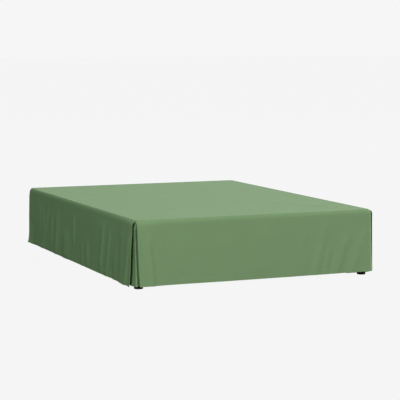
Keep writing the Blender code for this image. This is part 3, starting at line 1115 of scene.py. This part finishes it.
@dataclass(frozen=True)
class CornerPiece:
    """The piece that hangs behind a split, round the corner where a side starts."""

    base: Base
    side: Side
    node: str
    rib: float = 0.0030  # how far its rib stands out between the drops
    drawn: float = 0.030  # how far down the cloth it takes to stand out
    crest: float = -0.0004  # where along the side its crest is at the seam
    crest_hem: float = 0.0072  # and at the hem
    crest_power: float = 1.5  # the power by which it goes from one to the other
    near: float = 0.0040  # how wide it is on this side of the crest
    far: float = 0.0125  # and on the side before
    lean: float = 0.0060  # how far out the piece leans at its hem
    lean_power: float = LEAN_POWER
    lean_here: float = 0.090  # how far along this side the lean reaches
    lean_before: float = 0.090  # and along the side before
    hem_step: float = 0.0003  # how far its turned hem stands out
    hem_extra: float = 0.0004  # how much thicker that is
    row: float = 0.0060  # how high most of its mesh's rows are

    def hang(self, along: Array, down: Array, fallen: Array) -> Array:
        """How far it stands out beyond its place at the top, from its rib and its lean.

        Args:
            along: The distance along the side from the middle of the corner.
            down: The distance down the cloth from the seam.
            fallen: The share of its height that is above.

        Returns:
            The distance out.
        """
        crest = self.crest + (self.crest_hem - self.crest) * fallen**self.crest_power
        wide = np.where(along > crest, self.near, self.far)
        reach = np.where(along > 0, self.lean_here, self.lean_before)
        leant = self.lean * fallen**self.lean_power * bell(along, reach)
        return self.rib * smooth(down / self.drawn) * bell(along - crest, wide) + leant

    def build(self, finishes: Finishes) -> None:
        """Makes the piece.

        Args:
            finishes: The materials.
        """
        section = Section(self.base, CORNER_OUTER, CORNER_PIECE_HEM)
        half = divide(0.0, *CORNER_COLUMNS)
        columns = np.concatenate([-half[:0:-1], half])
        down, along = np.meshgrid(section.rows(self.row), columns, indexing="ij")
        out, height = section.at(down)
        turned = section.turned(height)
        out = out + self.hem_step * turned + self.hang(along, down, self.base.fallen(height))
        outer = np.concatenate([self.base.plan(self.side, along, out), height[..., None]], axis=-1)
        cut = np.stack([along, down], axis=-1)
        piece = add_cloth(self.node, outer, CLOTH + self.hem_extra * turned, cut, finishes.cotton)


@dataclass(frozen=True)
class Ripple:
    """A long low ripple in the flat cloth, along a line between two points."""

    x_from: float
    y_from: float
    x_to: float
    y_to: float
    wide: float
    high: float
    rise: float = 0.3  # the share of its length that it takes to rise from each end

    def at(self, x: Array, y: Array) -> Array:
        """How high the ripple lifts the cloth.

        Args:
            x: The x of points of the deck.
            y: Their y.

        Returns:
            The heights.
        """
        ahead = np.array([self.x_to - self.x_from, self.y_to - self.y_from])
        length = float(np.hypot(*ahead))
        ahead = ahead / length
        along = (x - self.x_from) * ahead[0] + (y - self.y_from) * ahead[1]
        beside = (y - self.y_from) * ahead[0] - (x - self.x_from) * ahead[1]
        ends = smooth(along / (self.rise * length)) * smooth((length - along) / (self.rise * length))
        return self.high * ends * bell(beside, self.wide)


DECK_RIPPLES = (
    Ripple(-0.640, -0.900, -0.180, -0.420, 0.035, 0.0011),
    Ripple(0.655, -0.880, 0.300, -0.300, 0.030, 0.0012),
    Ripple(-0.560, -0.120, 0.100, 0.060, 0.050, 0.0009),
    Ripple(-0.640, 0.880, -0.320, 0.250, 0.034, 0.0012),
    Ripple(0.650, 0.900, 0.120, 0.480, 0.040, 0.0010),
    Ripple(0.050, -0.620, 0.560, -0.100, 0.045, 0.0008),
    Ripple(-0.200, 0.420, 0.500, 0.250, 0.055, 0.0009),
)


@dataclass(frozen=True)
class Deck:
    """The flat cloth on the base, turned down over its rounded edge as far as the seam."""

    base: Base
    node: str = "deck"
    cell: float = 0.014  # how wide the cells of its mesh are on the flat
    lip_steps: int = 14
    lip_power: float = 1.4  # the power by which the steps are shorter next to the flat

    def profile(self) -> tuple[Array, Array]:
        """Finds the rings of its edge, from the flat out to the seam.

        Returns:
            How far out each ring is from the base's upright faces, and how high.
        """
        last = SEAM_ANGLE - SEAM_GAP / EDGE_ROUND
        half = np.linspace(0.0, 1.0, self.lip_steps) ** self.lip_power / 2
        angle = last * smooth(half) * 2
        clear = DECK_OUTER + (DROP_OUTER - DECK_OUTER) * smooth(angle / last)
        seam = (last - angle) * (EDGE_ROUND + DROP_OUTER)
        out, height = self.base.over_edge(angle, clear - SEAM_ROLL * bell(seam, SEAM_ROLL_WIDE))
        return np.concatenate([[-CORNER_ROUND], out]), np.concatenate([height[:1], height])

    def build(self, finishes: Finishes) -> None:
        """Makes the deck.

        Args:
            finishes: The materials.
        """
        out, height = self.profile()
        rings = len(out) - 1
        grids, beyond = [], []
        for half in (self.base.half_x - CORNER_ROUND, self.base.half_y - CORNER_ROUND):
            cells = round(2 * half / self.cell)
            step = np.arange(cells + 2 * rings + 1) - rings
            grids.append(-half + 2 * half * np.clip(step, 0, cells) / cells)
            beyond.append(np.minimum(step, 0) + np.maximum(step - cells, 0))
        middle_x, middle_y = np.meshgrid(*grids, indexing="ij")
        over_x, over_y = np.meshgrid(*beyond, indexing="ij")
        ring = np.maximum(np.abs(over_x), np.abs(over_y))
        most = np.maximum(ring, 1)
        steps = np.where(np.abs(over_x) >= np.abs(over_y), np.abs(over_y), 2 * most - np.abs(over_x))
        turn = steps / (2 * most) * math.pi / 2
        radius = CORNER_ROUND + out[ring]
        x = middle_x + np.sign(over_x) * radius * np.cos(turn)
        y = middle_y + np.sign(over_y) * radius * np.sin(turn)
        lift = sum(ripple.at(x, y) for ripple in DECK_RIPPLES)
        outer = np.stack([x, y, height[ring] + lift], axis=-1)
        cut = np.stack([x, y], axis=-1)
        piece = add_cloth(self.node, outer, np.full(x.shape, CLOTH), cut, finishes.cotton)


@dataclass(frozen=True)
class Glide:
    """A round moulded glide under the base, turned about its own middle."""

    node: str
    sides: int = 64
    edge: float = 0.002  # radius of its lower edge
    edge_levels: int = 9
    neck: float = 0.0012  # how far in its neck is
    neck_from: float = 0.0304  # the height where the neck starts
    rim: float = 0.0300  # the height of the rim below it

    def build(self, finishes: Finishes) -> None:
        """Makes the glide in its solid's place.

        Args:
            finishes: The materials.
        """
        low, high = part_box(self.node)
        middle, radius = (low + high) / 2, (high.x - low.x) / 2
        levels = [(radius - self.neck, high.z), (radius - self.neck, self.neck_from), (radius, self.rim)]
        for turn in np.linspace(0.0, math.pi / 2, self.edge_levels):
            levels.append((radius - self.edge * (1 - math.cos(turn)), self.edge * (1 - math.sin(turn))))
        turns = np.linspace(0.0, 2 * math.pi, self.sides, endpoint=False)
        points = [
            (middle.x + reach * math.cos(turn), middle.y + reach * math.sin(turn), height)
            for reach, height in levels
            for turn in turns
        ]
        faces: list[tuple[int, ...]] = []
        for upper in range(len(levels) - 1):
            for step in range(self.sides):
                beside = (step + 1) % self.sides
                top, below = upper * self.sides, (upper + 1) * self.sides
                faces.append((top + step, below + step, below + beside, top + beside))
        faces.append(tuple(range(self.sides)))
        faces.append(tuple(len(points) - 1 - step for step in range(self.sides)))
        mesh = bpy.data.meshes.new(f"{self.node}_moulding")
        mesh.from_pydata(points, [], faces)
        mesh.shade_smooth()
        mesh.set_sharp_from_angle(angle=SHARP_PLASTIC)
        add_piece(mesh, finishes.plastic, Slot.PLASTIC, self.node)


def heading(yaw: float, pitch: float) -> Vector:
    """The unit vector that points yaw degrees from +Y towards +X, and pitch degrees up."""
    turn, lift = math.radians(yaw), math.radians(pitch)
    return Vector((math.sin(turn) * math.cos(lift), math.cos(turn) * math.cos(lift), math.sin(lift)))


def look(made: bpy.types.Object, place: Vector, ahead: Vector) -> None:
    """Puts a lamp or a camera at a place, where it looks ahead.

    Args:
        made: The lamp or the camera.
        place: Its place.
        ahead: The direction that it looks in.
    """
    made.location = place
    made.rotation_mode = "QUATERNION"
    made.rotation_quaternion = ahead.to_track_quat("-Z", "Y")


@dataclass(frozen=True)
class SoftLight:
    """A large soft lamp that faces the bed."""

    name: str
    azimuth: float  # degrees round from the foot end, towards +X
    elevation: float
    power: float
    tint: Triple = (1.0, 1.0, 1.0)
    size: float = 5.0
    distance: float = 14.0

    def build(self, aim: Vector) -> None:
        """Places the lamp.

        Args:
            aim: The point that it faces.
        """
        data = bpy.data.lights.new(self.name, "AREA")
        data.shape = "SQUARE"
        data.size = self.size
        data.energy = self.power
        data.color = self.tint
        away = heading(180.0 - self.azimuth, self.elevation)
        look(add_object(self.name, data), aim + away * self.distance, -away)


WHITE = (1.0, 1.0, 1.0, 1.0)


@dataclass(frozen=True)
class Studio:
    """The pale floor, the soft lights and the camera."""

    pale: float = 0.9225  # how bright the room looks
    ambient: float = 0.08  # how brightly it lights the bed
    ambient_tint: tuple[float, float, float, float] = (0.97, 1.03, 0.97, 1.0)
    floor_tone: tuple[float, float, float, float] = (0.15, 0.15, 0.15, 1.0)
    shadow: float = 0.03  # how much of the floor's own light and shade shows
    floor_glow: float = 0.938  # how bright the rest of what it shows is
    floor_half: float = 80.0
    lights: tuple[SoftLight, ...] = (
        SoftLight("main", azimuth=-40.0, elevation=30.0, power=1250.0, tint=(0.95, 1.03, 0.95)),
        SoftLight("front", azimuth=15.0, elevation=26.0, power=975.0, tint=(1.05, 0.90, 1.05)),
        SoftLight("side", azimuth=95.0, elevation=14.0, power=3000.0),
        SoftLight("back", azimuth=165.0, elevation=32.0, power=1000.0, size=7.0),
    )
    lit_point: Triple = (0.0, 0.0, 0.2)  # where the lights face
    camera_at: Triple = (-3.5839, -8.7512, 1.3525)
    yaw: float = 22.6575  # degrees from +Y towards +X
    pitch: float = -5.9957  # degrees up
    lens: float = 142.2
    sensor: float = 36.0
    sight: float = 300.0  # how far the camera sees

    def room(self) -> None:
        """Lights the room evenly, and shows it about as bright as the floor."""
        world = bpy.data.worlds.new("studio")
        bpy.context.scene.world = world
        world.use_nodes = True
        world.node_tree.nodes.clear()
        nodes = NodeTree(world.node_tree)
        shown = nodes.add("ShaderNodeBackground", {"Color": WHITE, "Strength": self.pale})
        lighting = nodes.add("ShaderNodeBackground", {"Color": self.ambient_tint, "Strength": self.ambient})
        path = nodes.add("ShaderNodeLightPath").outputs["Is Camera Ray"]
        mix = nodes.add("ShaderNodeMixShader", {0: path, 1: lighting.outputs[0], 2: shown.outputs[0]})
        nodes.add("ShaderNodeOutputWorld", {"Surface": mix.outputs[0]})

    def floor(self) -> None:
        """Lays a plain pale floor that hardly shows a shadow."""
        material = bpy.data.materials.new("pale_floor")
        material.use_nodes = True
        material.node_tree.nodes.clear()
        nodes = NodeTree(material.node_tree)
        matt = nodes.add("ShaderNodeBsdfDiffuse", {"Color": self.floor_tone})
        glow = nodes.add("ShaderNodeEmission", {"Color": WHITE, "Strength": self.floor_glow})
        path = nodes.add("ShaderNodeLightPath").outputs["Is Camera Ray"]
        share = nodes.math("MULTIPLY", path, 1.0 - self.shadow)
        mix = nodes.add("ShaderNodeMixShader", {0: share, 1: matt.outputs[0], 2: glow.outputs[0]})
        nodes.add("ShaderNodeOutputMaterial", {"Surface": mix.outputs[0]})
        half = self.floor_half
        mesh = bpy.data.meshes.new("floor")
        corners = [(-half, -half, 0.0), (half, -half, 0.0), (half, half, 0.0), (-half, half, 0.0)]
        mesh.from_pydata(corners, [], [(0, 1, 2, 3)])
        mesh.materials.append(material)
        add_object("floor", mesh)

    def camera(self) -> None:
        """Sets the camera where the photograph was taken from."""
        data = bpy.data.cameras.new("camera")
        data.lens = self.lens
        data.sensor_width = self.sensor
        data.clip_end = self.sight
        made = add_object("camera", data)
        look(made, Vector(self.camera_at), heading(self.yaw, self.pitch))
        bpy.context.scene.camera = made

    def build(self) -> None:
        """Sets up the whole studio."""
        bpy.context.scene.view_settings.view_transform = "Standard"
        self.room()
        self.floor()
        self.camera()
        for light in self.lights:
            light.build(Vector(self.lit_point))


def dress_base(finishes: Finishes) -> None:
    """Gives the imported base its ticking.

    Args:
        finishes: The materials.
    """
    box = frame["nodes"]["base_box"]
    box.data.materials.clear()
    box.data.materials.append(finishes.ticking)
    LOG.info("base_box: dressed in ticking")


def main() -> None:
    """Builds the skirt's pieces in order, then the studio."""
    logging.basicConfig(level=logging.INFO, format="%(name)s: %(message)s")
    finishes = Finishes.make()
    base = Base.from_frame()
    dress_base(finishes)
    drops = (
        Drop(base, Side.FOOT, "drop_foot", FOOT_FOLDS, FOOT_LEFT_END, FOOT_RIGHT_END, sag=0.0022),
        Drop(base, Side.RIGHT, "drop_right", RIGHT_FOLDS, RIGHT_FOOT_END),
        Drop(base, Side.HEAD, "drop_head", HEAD_FOLDS),
        Drop(
            base, Side.LEFT, "drop_left", LEFT_FOLDS, LEFT_HEAD_END, LEFT_FOOT_END,
            from_end=True, lean=0.0070, sag=0.0026,
        ),
    )
    corners = (
        CornerPiece(
            base, Side.FOOT, "corner_foot_left", rib=0.0150, drawn=0.060, crest=0.0010, crest_hem=0.0080,
            near=0.0020, far=0.0104, lean=0.0090, lean_power=4.0, lean_here=0.010,
        ),
        CornerPiece(base, Side.RIGHT, "corner_foot_right", rib=0.0006, lean=0.0015),
        CornerPiece(base, Side.HEAD, "corner_head_right"),
        CornerPiece(base, Side.LEFT, "corner_head_left"),
    )
    glides = tuple(Glide(f"glide_{end}_{hand}") for end in ("foot", "head") for hand in ("left", "right"))
    for piece in (Deck(base), *drops, *corners, *glides):
        piece.build(finishes)
    Studio().build()


if __name__ == "__main__":
    main()
